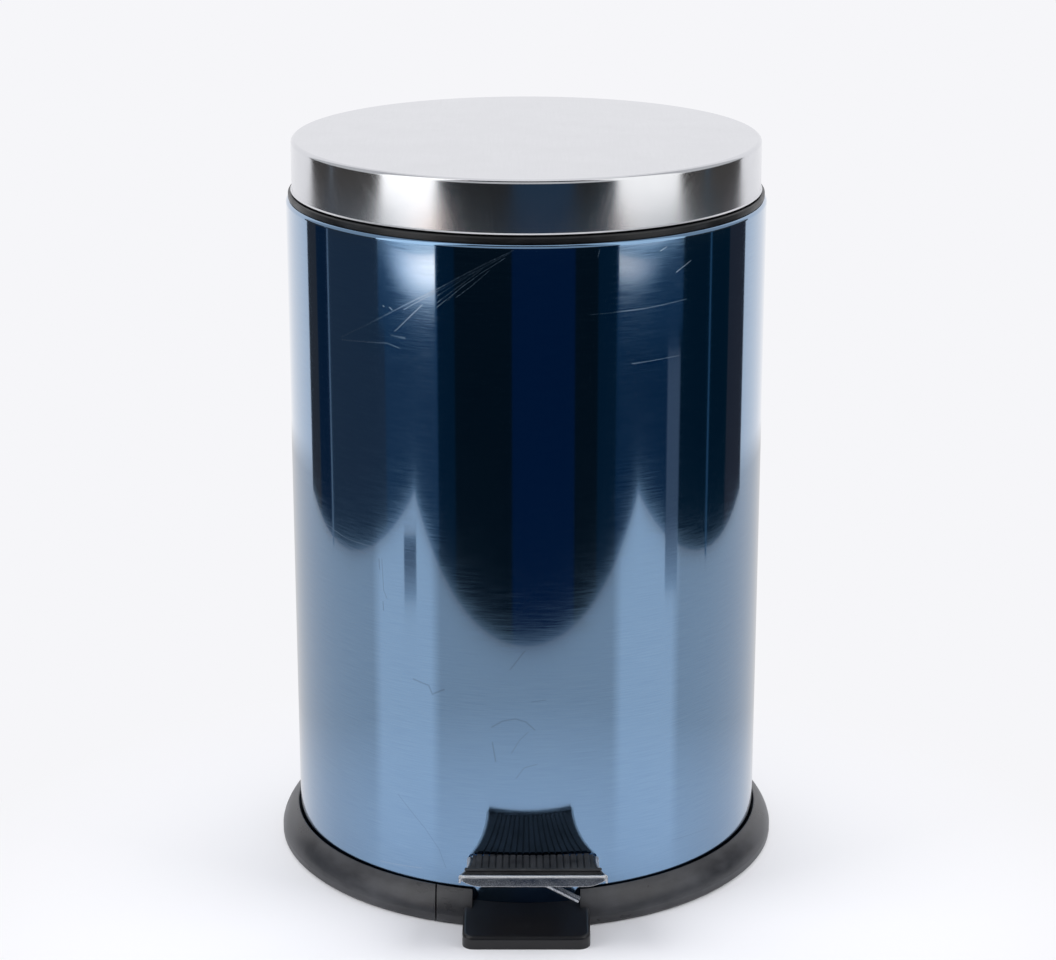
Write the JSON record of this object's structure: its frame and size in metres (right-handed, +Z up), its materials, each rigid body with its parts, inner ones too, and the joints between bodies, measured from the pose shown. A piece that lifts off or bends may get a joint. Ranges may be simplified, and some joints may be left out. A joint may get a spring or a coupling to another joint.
{
  "type": "pedal trash can",
  "caption": "Round free-standing pedal bin: lacquered steel body, steel lid hinged at the back and opened by a foot pedal through a lever and push rod, lift-out inner bucket.",
  "frame": {"origin": "on the floor, on the axis of the body", "axes": "+Z up along the body's axis, -Y towards the pedal at the front, +X to the right seen from the front"},
  "size_m": [0.3154, 0.3594, 0.4515],
  "materials": {
    "blue_lacquered_steel": "brushed steel under blue transparent lacquer, glossy",
    "brushed_lid_steel": "finely brushed, near polished",
    "polished_pedal_steel": "polished",
    "black_tread_rubber": "ribbed, fine grain",
    "black_ring_rubber": "satin, moulded",
    "black_plastic": "satin, moulded",
    "bucket_plastic": "matte, moulded",
    "zinc_plated_steel": "zinc plated, dull",
    "natural_nylon": "moulded, translucent white"
  },
  "bodies": {
    "can": {"body_shell": "blue_lacquered_steel", "base_ring": "black_ring_rubber", "ring_screws": "zinc_plated_steel", "base_pan": "black_plastic", "lever_bracket": "zinc_plated_steel", "bracket_rivets": "zinc_plated_steel", "lever_axle": "zinc_plated_steel", "axle_clips": "zinc_plated_steel", "upper_rod_guide": "natural_nylon", "lower_rod_guide": "natural_nylon", "top_collar": "black_plastic", "inner_bucket": "bucket_plastic", "bail_handle": "zinc_plated_steel", "bail_grip": "black_plastic", "hinge_housing": "black_plastic", "hinge_pin": "zinc_plated_steel", "backing_plate": "zinc_plated_steel", "housing_screws": "zinc_plated_steel"},
    "lid": {"lid_shell": "brushed_lid_steel", "lid_liner": "black_plastic", "lid_bumpers": "black_ring_rubber", "hinge_leaf": "zinc_plated_steel", "leaf_rivets": "zinc_plated_steel", "crank_pin": "zinc_plated_steel"},
    "pedal": {"pedal_plate": "polished_pedal_steel", "pedal_pad": "black_tread_rubber", "pedal_brace": "polished_pedal_steel", "pedal_lever": "zinc_plated_steel", "lever_rivets": "zinc_plated_steel", "lever_bushes": "natural_nylon"},
    "rod": {"push_rod": "zinc_plated_steel", "rod_cap": "natural_nylon"}
  },
  "joints": [
    {"name": "lid_open", "type": "hinge", "parent": "can", "child": "lid", "pos_m": [0, 0.156, 0.421], "axis": [-1, 0, 0], "range_deg": [0, 75]},
    {"name": "pedal_press", "type": "hinge", "parent": "can", "child": "pedal", "pos_m": [0, -0.04, 0.038], "axis": [1, 0, 0], "range_deg": [0, 8.31]},
    {"name": "rod_lift", "type": "slide", "parent": "can", "child": "rod", "axis": [0, 0, 1], "range_m": [0, 0.02583]}
  ],
  "couplings": [
    {"joint": "pedal_press", "follows": "lid_open", "ratio": 0.11067},
    {"joint": "rod_lift", "follows": "lid_open", "m_per_rad": 0.019719}
  ]
}
